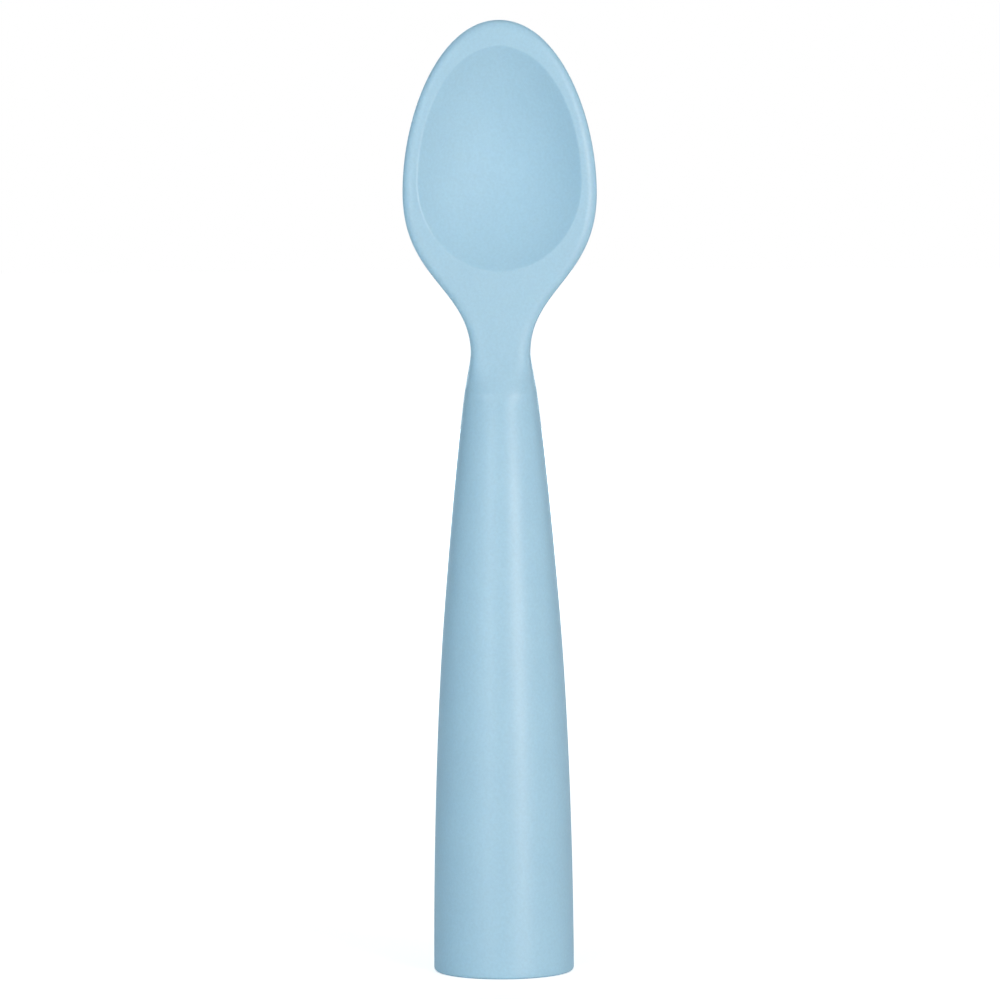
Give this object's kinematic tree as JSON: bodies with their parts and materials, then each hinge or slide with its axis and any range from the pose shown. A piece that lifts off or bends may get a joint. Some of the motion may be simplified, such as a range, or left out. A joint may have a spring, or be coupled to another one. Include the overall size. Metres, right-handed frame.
{
  "type": "baby feeding spoon",
  "caption": "Silicone feeding spoon with an egg-shaped shallow bowl, a narrow neck and a thick round handle that stands on its flat butt.",
  "frame": {"origin": "centre of the flat round butt, on the handle's axis", "axes": "+Z along the handle's axis from the butt to the bowl's tip, +X across the bowl's width, -Y the way the bowl opens"},
  "size_m": [0.0284, 0.0206, 0.14],
  "materials": {
    "silicone": "matte light blue moulded silicone",
    "core_plastic": "natural off-white moulded plastic"
  },
  "bodies": {
    "root": {"silicone_body": "silicone", "handle_core": "core_plastic"}
  },
  "joints": []
}
